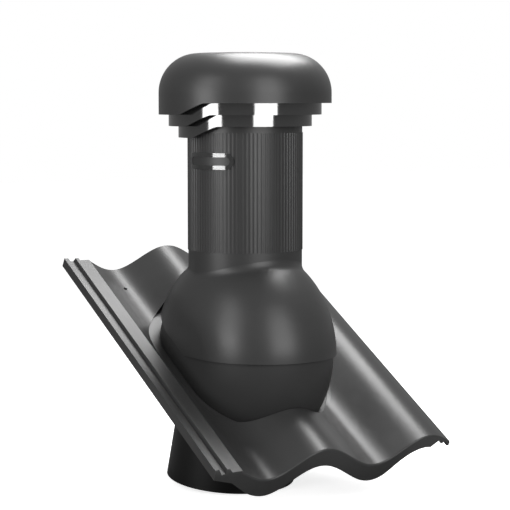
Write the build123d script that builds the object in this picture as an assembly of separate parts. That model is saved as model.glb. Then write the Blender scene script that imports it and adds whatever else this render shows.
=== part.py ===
from build123d import *
import math
import os

# Roof tile vent: a plastic tile for a double-wave roof, with an oval swivel ball
# that keeps a round ribbed outlet pipe upright, and a hood with stepped rain skirts.
#
# Units are millimetres. The origin is the centre of the swivel ball.
# +X runs across the roof, +Y is the horizontal direction up the roof, +Z is up.
# The tile is drawn flat in its own frame (x across, y up the slope, z off the roof)
# with the same origin, and is then leaned back by the roof pitch.

# Roof tile
roof_pitch = 30.0          # degrees, the pitch that the outlet is set for
tile_width = 330.0
tile_length = 416.0
tile_wall = 4.2
wave_pitch = 150.0
wave_height = 17.0         # half the height from trough to crest
wave_skew = 1.0            # second harmonic, which flattens the crests a little
wave_mean = 6.5            # mean height of the wave above the laying plane
first_crest = 148.0        # from the left edge
skew_crest = 89.0

# Left side lap, read across from the left edge
lap_rim_height = 11.5
lap_rim_width = 5.5
lap_groove = (8.5, 13.8)   # where the rain groove's floor starts and ends
lap_groove_height = 6.5
lap_rib = (16.0, 20.0)     # the second rib's flat top
lap_rib_height = 11.0
lap_strip = (22.5, 36.0)   # flat strip between the second rib and the wave
lap_strip_height = 7.5
lap_skirt_wall = 4.0
lap_front = ((0.0, 4.0), (1.2, 8.0), (5.0, 12.5))  # rounding of its lower end, up the slope and up

# Right edge, which hooks over the neighbour's ribs
hook_height = 6.0          # how far the edge turns down
hook_wall = 3.2
hook_tooth_gap = 11.0      # from the edge to the tooth beside it
hook_tooth_depth = 3.0
hook_reach = 28.0          # width of the overlap where the lip runs out

# Lip along the lower edge
nose_depth = 24.0
nose_depth_right = 17.5
nose_wall = 4.0
nose_round = 2.0
nose_change = 242.0        # from the left edge, where the lip starts to get shallower
nose_change_width = 25.0
nose_left = ((26.0, -8.0), (49.0, -27.5))  # lower edge where it clears the side lap

nail_radius = 2.5
nail_from_top = 42.0       # from the upper edge of the tile

# Swivel ball, seen as a short-axled ring torus about X
ball_radius = 87.4         # rounding of the ball's sides, outside of the bell
ball_offset = 40.4         # from the swivel axis to the centre of that rounding
ball_from_left = 149.0     # where the ball's centre lies on the tile
ball_from_nose = 201.0
ball_height = 14.5
bell_wall = 3.0
swivel_gap = 0.5
bowl_wall = 3.0
bowl_overlap = 38.0        # how far the bowl reaches up inside the bell
swivel_limit = 10.0        # degrees each way from the pitch above

# Seat, the flat-floored well in the tile around the ball
well_side_gap = 23.6       # from the bowl's sides to the well's
well_end_gap = 7.2         # from the bowl's ends to the well's, before the shift
well_shift = 6.3           # uphill from the ball's centre
rim_clearance = 3.9        # left under the bell's rear rim at the swivel's limit
flange_wall = 4.0
seat_gap = 0.3

# Funnel below the roof
funnel_lean = 5.6          # degrees, its lower end points up the roof
funnel_length = 157.2
funnel_radius = 78.2
funnel_flare = 6.2         # degrees
funnel_place = (-9.3, 3.8)  # where its axis passes the ball's centre
funnel_start = 62.0
funnel_wall = 2.5

# Outlet pipe
pipe_radius = 68.8
pipe_wall = 2.6
neck_round = 13.0
rib_count = 90
rib_height = 0.7
rib_share = 0.7            # part of the pitch that is raised
rib_flank = 0.2            # part of the pitch that each sloping side takes
rib_start = 16.0           # plain band between the neck and the ribs
rib_margin = 7.7           # plain band between the ribs and the lowest skirt
neck_shelf_wall = 3.0

# Inner duct and its insulation
insulation_wall = 10.6
duct_wall = 2.7
duct_bottom = -60.0
duct_flange_wall = 2.5
fit_gap = 0.3

# Hood
skirt_wall = 2.5
dome_corner = 47.0
dome_crown = 3.5           # how far the top falls from its middle to the wall line
hood_top = 360.0           # height of the whole vent above the ball's centre
dome_height = 60.4         # from the dome's raised lower edge to its top
headroom = 35.0            # from the tops of the skirts to the top of the dome
collar_gap = 6.2           # from the collar to the inner skirt
skirt_gap = 9.2            # from the inner skirt to the middle one
dome_gap = 9.5             # from the middle skirt to the dome
skirt_step = 13.7          # both the drop of one skirt to the next and of the lowered side
raised_turn = 19.0         # degrees that the raised half is turned from downhill to the right
slant_half = 18.0          # half the length over which an edge changes level
slant_round = 18.0
pipe_drop = 7.0            # from the tops of the skirts down to the pipe's top
collar_wall = 2.5
collar_length = 36.0
spoke_count = 6
spoke_wall = 2.6
spoke_start = 30.0         # degrees
spoke_height = 21.0
spoke_stop = 8.0           # height of the pads that centre the dome
post_radius = 5.0
post_inset = 6.0           # from the middle skirt's outside to the posts' centres

# Radii, levels and fits worked out from the sizes above
duct_radius = pipe_radius - pipe_wall - insulation_wall - 2 * fit_gap
inner_radius = pipe_radius + fit_gap + collar_wall + collar_gap + skirt_wall
middle_radius = inner_radius + skirt_gap + skirt_wall
dome_radius = middle_radius + dome_gap + skirt_wall
post_circle = middle_radius - post_inset
ball_reach = ball_offset + ball_radius
bowl_radius = ball_radius - bell_wall - swivel_gap
well_half_width = bowl_radius + well_side_gap
well_half_length = bowl_radius + ball_offset + well_end_gap
well_floor = -ball_reach * math.sin(math.radians(swivel_limit)) - rim_clearance
neck_height = math.sqrt(ball_reach**2 - pipe_radius**2)
dome_edge = hood_top - dome_height
skirt_top = hood_top - headroom
pipe_top = skirt_top - pipe_drop
spoke_bottom = skirt_top - spoke_height
collar_bottom = pipe_top - collar_length
rib_bottom = neck_height + rib_start
rib_top = dome_edge - 2 * skirt_step - rib_margin
shelf_bottom = neck_height - neck_shelf_wall

CROSS = (1, 0, 0)
FAR = 600.0                # longer than the whole part, for cutting shapes


def wave(across):
    """Height of the tile's upper wave at a distance from its left edge."""
    turn = 2 * math.pi / wave_pitch
    return (
        wave_mean
        + wave_height * math.cos(turn * (across - first_crest))
        - wave_skew * math.cos(2 * turn * (across - skew_crest))
    )


def wave_line(start, end, drop):
    """Spline along the wave between two distances from the left edge, lowered by drop."""
    steps = max(6, round(abs(end - start) / wave_pitch * 10))
    stations = [start + (end - start) * i / steps for i in range(steps + 1)]
    return Spline(*[(s, wave(s) - drop(s)) for s in stations])


def on_roof(shape):
    """Lean a shape from the tile's flat frame back to the roof pitch."""
    return Rot(roof_pitch, 0, 0) * shape


def tile_sketch(lines):
    """Close a section of the tile and place it at the lower edge, facing up the slope."""
    section = Plane.XZ * make_face(lines)
    return Pos(-ball_from_left, -ball_from_nose, -ball_height) * section


def side_lap_points():
    """Upper outline of the left side lap, from the outer foot to the wave."""
    return [
        (0, 0),
        (0, lap_rim_height),
        (lap_rim_width, lap_rim_height),
        (lap_groove[0], lap_groove_height),
        (lap_groove[1], lap_groove_height),
        (lap_rib[0], lap_rib_height),
        (lap_rib[1], lap_rib_height),
        (lap_strip[0], lap_strip_height),
        (lap_strip[1], lap_strip_height),
        (lap_strip[1], wave(lap_strip[1])),
    ]


def up_the_slope(face, length):
    return extrude(face, length, dir=(0, 1, 0))


def tile_shell():
    """The wavy sheet with its side lap and the hook on its right edge."""
    even = lambda s: tile_wall
    under_end = tile_width - hook_tooth_gap - 2 * hook_wall
    edge = wave(tile_width)
    tooth = tile_width - hook_tooth_gap
    lines = [
        Polyline(*side_lap_points()),
        wave_line(lap_strip[1], tile_width, lambda s: 0),
        Polyline(
            (tile_width, edge),
            (tile_width, edge - hook_height),
            (tile_width - hook_wall, edge - hook_height),
            (tile_width - hook_wall - 1, wave(tile_width - hook_wall - 1) - tile_wall),
            (tooth, wave(tooth) - tile_wall),
            (tooth, wave(tooth) - tile_wall - hook_tooth_depth),
            (tooth - hook_wall, wave(tooth) - tile_wall - hook_tooth_depth),
            (under_end, wave(under_end) - tile_wall),
        ),
        wave_line(under_end, lap_strip[1], even),
        Polyline(
            (lap_strip[1], wave(lap_strip[1]) - tile_wall),
            (lap_skirt_wall, lap_strip_height - tile_wall),
            (lap_skirt_wall, 0),
            (0, 0),
        ),
    ]
    return up_the_slope(tile_sketch(lines), tile_length)


def tile_nose():
    """The lip that hangs below the lower edge, follows the wave and runs out under the hooked edge."""
    thin_from = tile_width - hook_reach
    end = tile_width - hook_tooth_gap - 2 * hook_wall

    def depth(across):
        share = min(max((across - nose_change) / nose_change_width, 0), 1)
        return nose_depth + (nose_depth_right - nose_depth) * share * share * (3 - 2 * share)

    inside = tile_wall / 2
    left = nose_left[1][0]
    lines = [
        wave_line(lap_strip[1], end, lambda s: inside),
        Polyline(
            (end, wave(end) - inside),
            (end, wave(end) - tile_wall),
            (thin_from, wave(thin_from) - depth(thin_from)),
        ),
        wave_line(thin_from, left, depth),
        Polyline(
            (left, wave(left) - depth(left)),
            nose_left[0],
            (0, 0),
            (0, lap_strip_height - inside),
            (lap_strip[1], lap_strip_height - inside),
            (lap_strip[1], wave(lap_strip[1]) - inside),
        ),
    ]
    return up_the_slope(tile_sketch(lines), nose_wall)


def well_outline(grow):
    """Flat oval, long along the slope, centred on the well."""
    return Pos(0, well_shift, 0) * Ellipse(well_half_width + grow, well_half_length + grow)


def lap_front_cut():
    """Space above the rounded lower end of the side lap's ribs and strip."""
    (start, foot), middle, (end, crest) = lap_front
    profile = make_face(
        [
            ThreePointArc((start, foot), middle, (end, crest)),
            Polyline((end, crest), (end, 2 * crest), (start - end, 2 * crest), (start - end, foot), (start, foot)),
        ]
    )
    wedge = extrude(Plane.YZ * profile, lap_strip[1], dir=CROSS)
    return Pos(-ball_from_left, -ball_from_nose, -ball_height) * wedge


def under_wave():
    """All below the tile's upper wave, for trimming the well's wall."""
    lines = [
        wave_line(lap_strip[1], tile_width, lambda s: 0),
        Polyline(
            (tile_width, wave(tile_width)),
            (tile_width, -FAR / 4),
            (lap_strip[1], -FAR / 4),
            (lap_strip[1], wave(lap_strip[1])),
        ),
    ]
    return up_the_slope(tile_sketch(lines), tile_length)


def ball(radius):
    """Swivel ball: an arc about the cross axis, so that any pitch keeps the same gap."""
    profile = make_face(
        [
            Polyline((radius, ball_offset), (radius, 0), (-radius, 0), (-radius, ball_offset)),
            ThreePointArc((-radius, ball_offset), (0, ball_offset + radius), (radius, ball_offset)),
        ]
    )
    return revolve(profile, Axis.X)


def roof_tile():
    shell = tile_nose() + tile_shell()
    front = shell.edges().filter_by_position(Axis.Y, -ball_from_nose - 0.1, -ball_from_nose + 0.1)
    shell = fillet(front.filter_by(GeomType.BSPLINE).sort_by(Axis.Z)[-1], nose_round)
    shell -= lap_front_cut()
    well_bottom = well_floor - tile_wall
    tub = extrude(Pos(0, 0, well_bottom) * well_outline(tile_wall), FAR / 6)
    pocket = extrude(Pos(0, 0, well_floor) * well_outline(0), FAR / 6)
    shell = shell - tub + ((tub & under_wave()) - pocket)
    shell -= ball(bowl_radius + seat_gap)
    nail_line = tile_length - nail_from_top - ball_from_nose
    for crest in (first_crest - wave_pitch / 2, first_crest + wave_pitch / 2):
        shell -= Pos(crest - ball_from_left, nail_line, 0) * Cylinder(nail_radius, FAR / 6)
    return on_roof(shell)


def above_rim(lift):
    """Everything above a rim that is level downhill and follows the roof uphill."""
    rise = FAR * math.tan(math.radians(roof_pitch))
    side = make_face(
        Polyline((-FAR, lift), (0, lift), (FAR, lift + rise), (FAR, FAR), (-FAR, FAR), close=True)
    )
    return Pos(-FAR / 2, 0, 0) * extrude(Plane.YZ * side, FAR, dir=CROSS)


def funnel(inset):
    """Flared cone under the roof, inset by a wall for its inside."""
    narrow = funnel_radius - (funnel_length - funnel_start) * math.tan(math.radians(funnel_flare))
    cone = Cone(
        funnel_radius - inset,
        narrow - inset,
        funnel_length - funnel_start,
        align=(Align.CENTER, Align.CENTER, Align.MIN),
    )
    return Pos(*funnel_place, 0) * Rot(funnel_lean, 0, 0) * Pos(0, 0, -funnel_length) * cone


def swivel_base():
    outer = ball(bowl_radius) - above_rim(bowl_overlap) + funnel(0)
    inner = ball(bowl_radius - bowl_wall) + funnel(funnel_wall)
    top = well_floor - tile_wall
    flange = extrude(Pos(0, 0, top - flange_wall) * well_outline(tile_wall), flange_wall)
    return outer + on_roof(flange) - inner


def ribbed_sleeve():
    """Gear-like outline of the fine upright ribs, as a solid bar."""
    pitch = 2 * math.pi / rib_count
    crest = pipe_radius + rib_height
    points = []
    for i in range(rib_count):
        middle = i * pitch
        for turn, radius in (
            (-0.5, pipe_radius),
            (-rib_share / 2, pipe_radius),
            (-rib_share / 2 + rib_flank, crest),
            (rib_share / 2 - rib_flank, crest),
            (rib_share / 2, pipe_radius),
        ):
            angle = middle + turn * pitch
            points.append((radius * math.cos(angle), radius * math.sin(angle)))
    outline = make_face(Polyline(*points, close=True))
    return extrude(Pos(0, 0, rib_bottom) * outline, rib_top - rib_bottom)


def tube(outer, inner, bottom, top):
    ring = Circle(outer) - Circle(inner)
    return extrude(Pos(0, 0, bottom) * ring, top - bottom)


def bell_pipe():
    solid_pipe = Pos(0, 0, ball_offset) * Cylinder(
        pipe_radius, pipe_top - ball_offset, align=(Align.CENTER, Align.CENTER, Align.MIN)
    )
    outer = ball(ball_radius) + solid_pipe
    neck = outer.edges().filter_by(GeomType.BSPLINE).filter_by(lambda e: e.center().Z > ball_offset)
    outer = fillet(neck, neck_round)
    outer = (outer & above_rim(0)) + ribbed_sleeve()
    bore = Pos(0, 0, ball_offset) * Cylinder(
        pipe_radius - pipe_wall, pipe_top, align=(Align.CENTER, Align.CENTER, Align.MIN)
    )
    shell = outer - ball(ball_radius - bell_wall) - bore
    shelf = tube(
        pipe_radius - pipe_wall / 2,
        duct_radius + fit_gap,
        shelf_bottom,
        neck_height,
    )
    return shell + shelf


def inner_duct():
    pipe = tube(duct_radius, duct_radius - duct_wall, duct_bottom, pipe_top + duct_flange_wall)
    flange = tube(pipe_radius, duct_radius - duct_wall, pipe_top, pipe_top + duct_flange_wall)
    return pipe + flange


def insulation():
    return tube(
        pipe_radius - pipe_wall - fit_gap,
        duct_radius + fit_gap,
        neck_height,
        pipe_top,
    )


def below_edge(edge):
    """Everything under a lower edge that is raised on one half and slants down to the other."""
    low = edge - skirt_step
    side = make_face(
        Polyline(
            (-FAR, edge),
            (-slant_half, edge),
            (slant_half, low),
            (FAR, low),
            (FAR, -FAR),
            (-FAR, -FAR),
            close=True,
        )
    )
    slant_ends = side.vertices().filter_by_position(Axis.X, -slant_half - 1, slant_half + 1)
    side = fillet(slant_ends, slant_round)
    return Rot(0, 0, raised_turn) * Pos(-FAR / 2, 0, 0) * extrude(Plane.YZ * side, FAR, dir=CROSS)


def skirt(radius, edge):
    """One hanging ring whose lower edge is a step lower on the uphill half."""
    return tube(radius, radius - skirt_wall, edge - 2 * skirt_step, skirt_top) - below_edge(edge)


def dome_solid(inset):
    """Rounded cap as a solid, inset by a wall for its inside."""
    radius = dome_radius - inset
    top = hood_top - inset
    rim = dome_edge - 2 * skirt_step - inset
    shoulder = top - dome_crown
    profile = make_face(
        [
            Polyline((0, top), (0, rim), (radius, rim), (radius, shoulder)),
            TangentArc((0, top), (radius, shoulder), tangent=(1, 0)),
        ]
    )
    corner = profile.vertices().sort_by(Axis.X)[-2:].sort_by(Axis.Y)[-1]
    return revolve(Plane.XZ * fillet(corner, dome_corner - inset), Axis.Z)


def spoke_turns():
    """Turns that place the spokes and the posts on them."""
    return [Rot(0, 0, spoke_start + i * 360 / spoke_count) for i in range(spoke_count)]


def hood_baffle():
    """Collar on the pipe's top, with the two inner rain skirts hung from its spokes."""
    middle_edge = dome_edge - skirt_step
    inner_edge = middle_edge - skirt_step
    collar_inside = pipe_radius + fit_gap
    collar_middle = collar_inside + collar_wall / 2
    skirt_middle = middle_radius - skirt_wall / 2
    lip = pipe_top + duct_flange_wall
    collar = tube(collar_inside + collar_wall, collar_inside, collar_bottom, lip + collar_wall)
    collar += tube(collar_middle, duct_radius + collar_wall, lip, lip + collar_wall)
    from_inside = (Align.MIN, Align.CENTER, Align.MIN)
    spoke = Pos(collar_middle, 0, spoke_bottom) * Box(
        skirt_middle - collar_middle, spoke_wall, skirt_top - spoke_bottom, align=from_inside
    )
    spoke += Pos(skirt_middle, 0, spoke_bottom) * Box(
        dome_radius - skirt_wall - fit_gap - skirt_middle, spoke_wall, spoke_stop, align=from_inside
    )
    spoke += Pos(post_circle, 0, spoke_bottom) * Cylinder(
        post_radius, skirt_top - spoke_bottom, align=(Align.CENTER, Align.CENTER, Align.MIN)
    )
    rings = skirt(middle_radius, middle_edge) + skirt(inner_radius, inner_edge) + collar
    return rings + [turn * spoke for turn in spoke_turns()]


def hood_dome():
    """Rounded cap, with the posts that it stands on inside."""
    cap = dome_solid(0) - dome_solid(skirt_wall) - below_edge(dome_edge)
    post = Pos(post_circle, 0, skirt_top) * Cylinder(
        post_radius, headroom, align=(Align.CENTER, Align.CENTER, Align.MIN)
    )
    post &= dome_solid(skirt_wall / 2)
    return cap + [turn * post for turn in spoke_turns()]


os.makedirs("parts", exist_ok=True)
pieces = {
    "roof_tile": roof_tile,
    "swivel_base": swivel_base,
    "bell_pipe": bell_pipe,
    "inner_duct": inner_duct,
    "insulation": insulation,
    "hood_baffle": hood_baffle,
    "hood_dome": hood_dome,
}
for name, make in pieces.items():
    export_step(make(), f"parts/{name}.step")
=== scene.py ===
import bpy
import math
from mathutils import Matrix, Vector


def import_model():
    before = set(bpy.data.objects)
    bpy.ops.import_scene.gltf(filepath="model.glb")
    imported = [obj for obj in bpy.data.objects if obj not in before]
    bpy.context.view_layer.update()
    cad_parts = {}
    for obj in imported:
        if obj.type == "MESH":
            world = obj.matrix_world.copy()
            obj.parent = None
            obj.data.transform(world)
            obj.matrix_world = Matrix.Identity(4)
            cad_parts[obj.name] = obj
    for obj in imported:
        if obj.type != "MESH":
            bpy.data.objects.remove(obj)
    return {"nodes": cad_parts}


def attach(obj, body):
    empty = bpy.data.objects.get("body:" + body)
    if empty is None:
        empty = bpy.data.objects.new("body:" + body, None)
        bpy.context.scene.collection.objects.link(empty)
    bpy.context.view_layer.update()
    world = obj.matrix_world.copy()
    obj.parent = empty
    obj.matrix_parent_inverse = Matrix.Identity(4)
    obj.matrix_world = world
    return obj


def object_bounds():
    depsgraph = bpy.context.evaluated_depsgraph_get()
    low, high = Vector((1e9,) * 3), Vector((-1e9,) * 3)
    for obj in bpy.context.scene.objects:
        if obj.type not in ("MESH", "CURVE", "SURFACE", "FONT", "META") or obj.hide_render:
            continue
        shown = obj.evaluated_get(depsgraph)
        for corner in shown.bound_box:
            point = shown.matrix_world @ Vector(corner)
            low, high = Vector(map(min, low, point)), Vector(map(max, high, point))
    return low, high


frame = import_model()
cad_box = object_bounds()

# Looks of a roof tile vent, moulded in graphite polypropylene. Metres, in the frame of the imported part:
# origin at the centre of the swivel ball, +X across the roof, +Y up the roof, +Z up the outlet pipe.
MM = 0.001

# Camera, from the photograph's viewing angle
IMAGE_PX = 510
FOCAL_PX = 1766.37
SENSOR_MM = 36.0
CAMERA_PLACE = Vector((-1.1565, -1.7912, 0.3073))
CAMERA_AHEAD = Vector((0.5471, 0.8371, 0.0))
CAMERA_PITCH = math.radians(-5.127)

# Lamps. A turn is in degrees to the right of the camera as the object sees it.
LAMP_DISTANCE = 2.0
RIGHT_TURN, RIGHT_WIDTH = 31, 1.22
LEFT_TURN, LEFT_WIDTH = -52, 0.90
TALL_LEVEL, TALL_HEIGHT, TALL_RADIANCE = 1.16, 1.68, 3.5
STRIP_LEVEL, STRIP_HEIGHT, STRIP_RADIANCE = 0.265, 0.08, 20.0
BADGE_STRIP_LEVEL, BADGE_STRIP_HEIGHT, BADGE_STRIP_RADIANCE = 0.158, 0.055, 16.0
ABOVE_RIGHT = 0.19                   # of the outlet's axis, as the camera sees it
ABOVE_BEHIND = 0.34
ABOVE_LEVEL = 1.0
ABOVE_AIM_BEHIND = 0.10
ABOVE_WIDTH, ABOVE_HEIGHT, ABOVE_RADIANCE = 0.60, 0.72, 12.0

# Surroundings
WORLD_STRENGTH = 0.3
FLOOR_SIZE = 14
FLOOR_GAP = 0.5 * MM
PAPER_GLOW = 0.77                    # lifts the lit paper to white for the camera

# Plastics
POLYMER_IOR = 1.49
CLOUD_SIZE = 45 * MM                 # of the faint patches in colour and gloss
SKIN_DEPTH = 0.1 * MM                # of the mould's fine grain

# Outlet pipe, which carries the badge
PIPE_RADIUS = 68.8 * MM
RIB_HEIGHT = 0.7 * MM

# Bare badge: a glossy frame round a sunken panel, wrapped round the ribs
BADGE_TURN = 71.8                    # degrees from downhill towards the left edge
BADGE_LENGTH = 69 * MM               # measured round the pipe
BADGE_HEIGHT = 19.5 * MM
BADGE_LEVEL = 231.5 * MM
BADGE_THICK = 1.6 * MM
BADGE_FRAME = 4.8 * MM
BADGE_SUNK = 0.6 * MM
BADGE_PROUD = 1.0 * MM               # of the ribs
BADGE_RADIUS = PIPE_RADIUS + RIB_HEIGHT + BADGE_PROUD
BADGE_STEPS = 40                     # facets along its length
BADGE_ENDS = 72                      # points round its two rounded ends together
BADGE_MIDDLE = 0.001 * MM            # points no further out than this stay when its ends move apart
BADGE_BEVEL = 0.2 * MM
BEVEL_OVER = math.radians(50)        # edges sharper than this get the bevel
SMOOTH_UNDER = math.radians(35)

# Swivel ball of the bowl, as in the part's source: a ring about the cross axis
BOWL_RADIUS = 83.9 * MM
BOWL_OFFSET = 40.4 * MM
BOWL_MARGIN = 0.4 * MM               # past the ball's surface, where the funnel's colour starts


def linear(hex_colour):
    """Linear colour of an sRGB hex value such as "3A3B3D"."""
    parts = [int(hex_colour[i : i + 2], 16) / 255 for i in (0, 2, 4)]
    return [p / 12.92 if p <= 0.04045 else ((p + 0.055) / 1.055) ** 2.4 for p in parts] + [1.0]


def add(tree, kind, settings=None, links=None):
    """Add a node. Settings go to sockets by number or name, or else to the node, and links to sockets."""
    node = tree.nodes.new(kind)
    for key, value in (settings or {}).items():
        if isinstance(key, int) or key in node.inputs:
            node.inputs[key].default_value = value
        else:
            setattr(node, key, value)
    for key, source in (links or {}).items():
        tree.links.new(source, node.inputs[key])
    return node


def plastic(name, colour, darker, roughness, rough_swing, grain_mm, bump, specular=0.5):
    """Moulded plastic: a faint cloudiness in colour and gloss, and the fine skin of the mould as bump."""
    material = bpy.data.materials.new(name)
    material.use_nodes = True
    tree = material.node_tree
    shader = tree.nodes["Principled BSDF"]
    shader.inputs["IOR"].default_value = POLYMER_IOR
    shader.inputs["Specular IOR Level"].default_value = specular
    place = add(tree, "ShaderNodeTexCoord").outputs["Object"]
    cloud = add(tree, "ShaderNodeTexNoise", {"Scale": 1 / CLOUD_SIZE, "Detail": 3.0}, {"Vector": place})
    skin = add(tree, "ShaderNodeTexNoise", {"Scale": 1 / (grain_mm * MM), "Detail": 2.0}, {"Vector": place})
    tint = add(tree, "ShaderNodeMix", {"data_type": "RGBA"}, {"Factor": cloud.outputs["Fac"]})
    tint.inputs["A"].default_value = linear(darker)
    tint.inputs["B"].default_value = linear(colour)
    tint.name = "tint"
    tree.links.new(tint.outputs["Result"], shader.inputs["Base Color"])
    sheen = add(
        tree,
        "ShaderNodeMapRange",
        {"To Min": roughness - rough_swing, "To Max": roughness + rough_swing},
        {"Value": cloud.outputs["Fac"]},
    )
    tree.links.new(sheen.outputs["Result"], shader.inputs["Roughness"])
    height = add(
        tree, "ShaderNodeBump", {"Strength": bump, "Distance": SKIN_DEPTH}, {"Height": skin.outputs["Fac"]}
    )
    tree.links.new(height.outputs["Normal"], shader.inputs["Normal"])
    return material


def outside_the_ball(tree):
    """Socket that is 1 where a surface point lies outside the bowl's ball, and 0 on the ball."""
    place = add(tree, "ShaderNodeTexCoord").outputs["Object"]
    part = add(tree, "ShaderNodeSeparateXYZ", {}, {"Vector": place})
    beside = add(tree, "ShaderNodeCombineXYZ", {}, {"Y": part.outputs["Y"], "Z": part.outputs["Z"]})
    ring = add(tree, "ShaderNodeVectorMath", {"operation": "LENGTH"}, {0: beside.outputs["Vector"]})
    off = add(tree, "ShaderNodeMath", {"operation": "SUBTRACT", 1: BOWL_OFFSET}, {0: ring.outputs["Value"]})
    # Nearer the cross axis than the offset the ball has flat sides, which count as the ball too
    past = add(tree, "ShaderNodeMath", {"operation": "MAXIMUM", 1: 0.0}, {0: off.outputs["Value"]})
    across = add(tree, "ShaderNodeCombineXYZ", {}, {"X": part.outputs["X"], "Y": past.outputs["Value"]})
    reach = add(tree, "ShaderNodeVectorMath", {"operation": "LENGTH"}, {0: across.outputs["Vector"]})
    outside = add(
        tree,
        "ShaderNodeMath",
        {"operation": "GREATER_THAN", 1: BOWL_RADIUS + BOWL_MARGIN},
        {0: reach.outputs["Value"]},
    )
    return outside.outputs["Value"]


def bowl_and_funnel_plastic(name, bowl_colour, funnel_colour):
    """Graphite on the bowl's ball and black on the funnel, which stands out past the ball."""
    material = plastic(
        name,
        bowl_colour,
        bowl_colour,
        roughness=0.45,
        rough_swing=0.03,
        grain_mm=1.2,
        bump=0.05,
        specular=0.25,
    )
    tree = material.node_tree
    both = add(tree, "ShaderNodeMix", {"data_type": "RGBA"}, {"Factor": outside_the_ball(tree)})
    tree.links.new(tree.nodes["tint"].outputs["Result"], both.inputs["A"])
    both.inputs["B"].default_value = linear(funnel_colour)
    tree.links.new(both.outputs["Result"], tree.nodes["Principled BSDF"].inputs["Base Color"])
    return material


def camera():
    """The photograph's camera, level from side to side and tipped a little down."""
    data = bpy.data.cameras.new("photo_camera")
    data.sensor_width = SENSOR_MM
    data.lens = FOCAL_PX / IMAGE_PX * SENSOR_MM
    seen = bpy.data.objects.new("photo_camera", data)
    bpy.context.scene.collection.objects.link(seen)
    seen.location = CAMERA_PLACE
    ahead = CAMERA_AHEAD.normalized() * math.cos(CAMERA_PITCH) + Vector((0, 0, math.sin(CAMERA_PITCH)))
    seen.rotation_mode = "QUATERNION"
    seen.rotation_quaternion = ahead.to_track_quat("-Z", "Y")
    bpy.context.scene.camera = seen


def world():
    """Soft grey light all round, and white where the camera looks past the object."""
    made = bpy.data.worlds.new("studio")
    bpy.context.scene.world = made
    made.use_nodes = True
    tree = made.node_tree
    soft = tree.nodes["Background"]
    soft.inputs["Color"].default_value = (1, 1, 1, 1)
    soft.inputs["Strength"].default_value = WORLD_STRENGTH
    white = add(tree, "ShaderNodeBackground", {"Color": (1, 1, 1, 1), "Strength": 1.0})
    seen = add(tree, "ShaderNodeLightPath")
    mix = add(tree, "ShaderNodeMixShader", {}, {"Fac": seen.outputs["Is Camera Ray"]})
    tree.links.new(soft.outputs[0], mix.inputs[1])
    tree.links.new(white.outputs[0], mix.inputs[2])
    tree.links.new(mix.outputs[0], tree.nodes["World Output"].inputs["Surface"])


def floor():
    """Paper that the camera sees as white with the object's soft shadow, and grey in the object's gloss."""
    bpy.ops.mesh.primitive_plane_add(size=FLOOR_SIZE, location=(0, 0, cad_box[0].z - FLOOR_GAP))
    ground = bpy.context.object
    ground.name = "pale_floor"
    material = bpy.data.materials.new("pale_paper")
    material.use_nodes = True
    tree = material.node_tree
    tree.nodes.remove(tree.nodes["Principled BSDF"])
    grey = add(tree, "ShaderNodeBsdfDiffuse", {"Color": linear("8A8A8A")})
    paper = add(tree, "ShaderNodeBsdfDiffuse", {"Color": linear("F2F2F2")})
    glow = add(tree, "ShaderNodeEmission", {"Color": (1, 1, 1, 1), "Strength": PAPER_GLOW})
    lit = add(tree, "ShaderNodeAddShader", {}, {0: paper.outputs[0], 1: glow.outputs[0]})
    seen = add(tree, "ShaderNodeLightPath")
    mix = add(
        tree,
        "ShaderNodeMixShader",
        {},
        {"Fac": seen.outputs["Is Camera Ray"], 1: grey.outputs[0], 2: lit.outputs[0]},
    )
    tree.links.new(mix.outputs[0], tree.nodes["Material Output"].inputs["Surface"])
    ground.data.materials.append(material)


def lamp(name, place, aim, width, height, radiance):
    """Rectangular lamp whose face has a radiance, where white paper in plain light has 1."""
    data = bpy.data.lights.new(name, "AREA")
    data.shape = "RECTANGLE"
    data.size, data.size_y = width, height
    data.energy = radiance * math.pi * width * height
    made = bpy.data.objects.new(name, data)
    bpy.context.scene.collection.objects.link(made)
    made.location = place
    made.rotation_mode = "QUATERNION"
    made.rotation_quaternion = (aim - place).to_track_quat("-Z", "Y")


def right_of_camera():
    """Level direction to the right, as the camera sees the object."""
    return Vector((CAMERA_AHEAD.y, -CAMERA_AHEAD.x, 0)).normalized()


def beyond_the_object(to_right, behind, level):
    """Place to the right of the outlet's axis and behind it, as the camera sees it."""
    return right_of_camera() * to_right + CAMERA_AHEAD.normalized() * behind + Vector((0, 0, level))


def upright_lamp(name, turn, level, width, height, radiance):
    """Lamp in a ring round the object, facing the outlet's axis at its own level."""
    to_camera = -CAMERA_AHEAD.normalized()
    away = to_camera * math.cos(math.radians(turn)) + right_of_camera() * math.sin(math.radians(turn))
    place = away * LAMP_DISTANCE + Vector((0, 0, level))
    lamp(name, place, Vector((0, 0, place.z)), width, height, radiance)


def lamps():
    """Two upright softboxes with a bright strip each, a lower strip for the badge, and a softbox above."""
    for side, turn, width in (("right", RIGHT_TURN, RIGHT_WIDTH), ("left", LEFT_TURN, LEFT_WIDTH)):
        upright_lamp(f"tall_softbox_{side}", turn, TALL_LEVEL, width, TALL_HEIGHT, TALL_RADIANCE)
        upright_lamp(f"strip_softbox_{side}", turn, STRIP_LEVEL, width, STRIP_HEIGHT, STRIP_RADIANCE)
    upright_lamp(
        "badge_strip_left",
        LEFT_TURN,
        BADGE_STRIP_LEVEL,
        LEFT_WIDTH,
        BADGE_STRIP_HEIGHT,
        BADGE_STRIP_RADIANCE,
    )
    above = beyond_the_object(ABOVE_RIGHT, ABOVE_BEHIND, ABOVE_LEVEL)
    aim = beyond_the_object(ABOVE_RIGHT, ABOVE_AIM_BEHIND, 0)
    lamp("softbox_above", above, aim, ABOVE_WIDTH, ABOVE_HEIGHT, ABOVE_RADIANCE)


def dress(piece, material):
    """Give a piece its one material."""
    piece.data.materials.clear()
    piece.data.materials.append(material)


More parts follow.
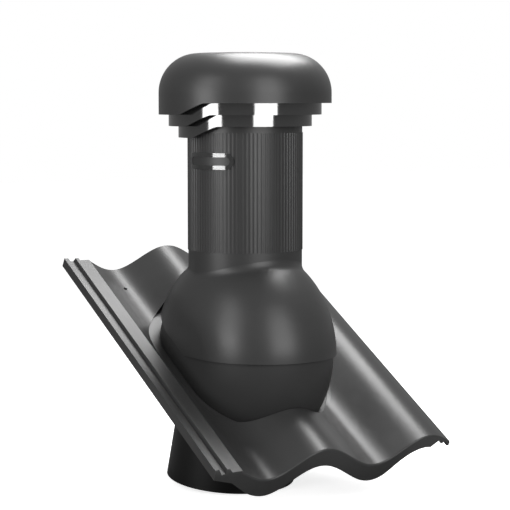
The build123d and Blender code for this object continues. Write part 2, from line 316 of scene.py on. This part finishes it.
def pick_alone(piece):
    """Select one piece and nothing else, and make it active."""
    bpy.ops.object.select_all(action="DESELECT")
    piece.select_set(True)
    bpy.context.view_layer.objects.active = piece


def apply_modifier(piece, kind, **settings):
    """Add a modifier with its settings and apply it."""
    step = piece.modifiers.new(kind.lower(), kind)
    for key, value in settings.items():
        setattr(step, key, value)
    pick_alone(piece)
    bpy.ops.object.modifier_apply(modifier=step.name)


def move_side(piece, side, distance):
    """Move the points on one side of the middle along X, where side is 1 on the right and -1 on the left."""
    pick_alone(piece)
    bpy.ops.object.mode_set(mode="EDIT")
    bpy.ops.mesh.select_all(action="DESELECT")
    bpy.ops.object.mode_set(mode="OBJECT")
    for vertex in piece.data.vertices:
        vertex.select = vertex.co.x * side > BADGE_MIDDLE
    bpy.ops.object.mode_set(mode="EDIT")
    bpy.ops.transform.translate(value=(side * distance, 0, 0))
    bpy.ops.object.mode_set(mode="OBJECT")


def badge_faces():
    """Outer faces of the badge's frame and of its sunken panel, bent round the pipe."""
    bpy.ops.mesh.primitive_circle_add(
        vertices=BADGE_ENDS, radius=BADGE_HEIGHT / 2, fill_type="NGON", rotation=(math.radians(90), 0, 0)
    )
    rim = bpy.context.object
    rim.name = "badge_frame"
    pick_alone(rim)
    bpy.ops.object.transform_apply(location=True, rotation=True, scale=True)
    for side in (1, -1):
        move_side(rim, side, (BADGE_LENGTH - BADGE_HEIGHT) / 2)
    bpy.ops.object.mode_set(mode="EDIT")
    for i in range(1, BADGE_STEPS):
        bpy.ops.mesh.select_all(action="SELECT")
        bpy.ops.mesh.bisect(plane_co=((i / BADGE_STEPS - 0.5) * BADGE_LENGTH, 0, 0), plane_no=(1, 0, 0))
    bpy.ops.mesh.select_all(action="SELECT")
    bpy.ops.mesh.inset(thickness=BADGE_FRAME, use_even_offset=True)
    bpy.ops.mesh.extrude_region_move(TRANSFORM_OT_translate={"value": (0, BADGE_SUNK, 0)})
    bpy.ops.object.mode_set(mode="OBJECT")
    bend = BADGE_LENGTH / BADGE_RADIUS
    apply_modifier(rim, "SIMPLE_DEFORM", deform_method="BEND", deform_axis="Z", angle=bend)
    bpy.ops.object.mode_set(mode="EDIT")
    bpy.ops.mesh.separate(type="SELECTED")
    bpy.ops.object.mode_set(mode="OBJECT")
    panel = next(o for o in bpy.context.selected_objects if o != rim)
    panel.name = "badge_panel"
    return rim, panel


def seat_on_pipe(piece):
    """Move a bent piece from its middle at the origin to the badge's turn and level on the pipe."""
    pick_alone(piece)
    bpy.ops.object.mode_set(mode="EDIT")
    bpy.ops.mesh.select_all(action="SELECT")
    bpy.ops.transform.translate(value=(0, -BADGE_RADIUS, BADGE_LEVEL))
    bpy.ops.transform.rotate(value=math.radians(BADGE_TURN), orient_axis="Z", center_override=(0, 0, 0))
    bpy.ops.object.mode_set(mode="OBJECT")


def badge(polished, satin):
    """Bare badge on the ribs: a polished frame and its satin panel."""
    rim, panel = badge_faces()
    for piece, depth, finish, slot in (
        (rim, BADGE_THICK, polished, "gloss_graphite_plastic"),
        (panel, BADGE_THICK - BADGE_SUNK, satin, "graphite_plastic"),
    ):
        apply_modifier(piece, "SOLIDIFY", thickness=depth, offset=-1.0)
        seat_on_pipe(piece)
        bpy.ops.object.shade_smooth_by_angle(angle=SMOOTH_UNDER)
        apply_modifier(
            piece, "BEVEL", width=BADGE_BEVEL, segments=2, limit_method="ANGLE", angle_limit=BEVEL_OVER
        )
        apply_modifier(piece, "WEIGHTED_NORMAL", keep_sharp=True)
        dress(piece, finish)
        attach(piece, "outlet")


camera()
world()
floor()
lamps()

# Polypropylene dyed through and moulded in a lightly etched tool: a satin skin with broad, soft
# highlights. The etching is too fine to show, so its grain is drawn coarser, in all five plastics.
graphite = plastic(
    "moulded_graphite_polypropylene",
    "363636",
    "323232",
    roughness=0.38,
    rough_swing=0.03,
    grain_mm=1.2,
    bump=0.02,
)

# The skirts and the badge's frame come from a polished tool: almost mirror-smooth, so that they show
# the lamps as hard white bands.
polished = plastic(
    "polished_graphite_plastic",
    "2C2C2C",
    "292929",
    roughness=0.10,
    rough_swing=0.01,
    grain_mm=2.0,
    bump=0.01,
    specular=1.0,
)

# Bowl and funnel are one moulding, duller than the rest. Its ball is coloured graphite, and the funnel,
# which hangs under the roof tile, near-black.
bowl = bowl_and_funnel_plastic("moulded_polypropylene_near_black_funnel", "353535", "080808")

# PVC pipe, drawn through a smooth die: pale grey and a little shiny.
duct = plastic(
    "extruded_grey_pvc",
    "8A8D90",
    "84878A",
    roughness=0.35,
    rough_swing=0.03,
    grain_mm=1.5,
    bump=0.05,
)

# Foam with closed cells of about a millimetre, cut to length: chalky, with a pitted skin.
foam = plastic(
    "closed_cell_foam",
    "DAD9D4",
    "CFCEC9",
    roughness=0.85,
    rough_swing=0.03,
    grain_mm=1.0,
    bump=0.6,
)

FINISHES = {
    "roof_tile": graphite,
    "swivel_base": bowl,
    "bell_pipe": graphite,
    "inner_duct": duct,
    "insulation": foam,
    "hood_baffle": polished,
    "hood_dome": graphite,
}
for node, finish in FINISHES.items():
    dress(frame["nodes"][node], finish)
badge(polished, graphite)

scene = bpy.context.scene
scene.view_settings.view_transform = "Standard"
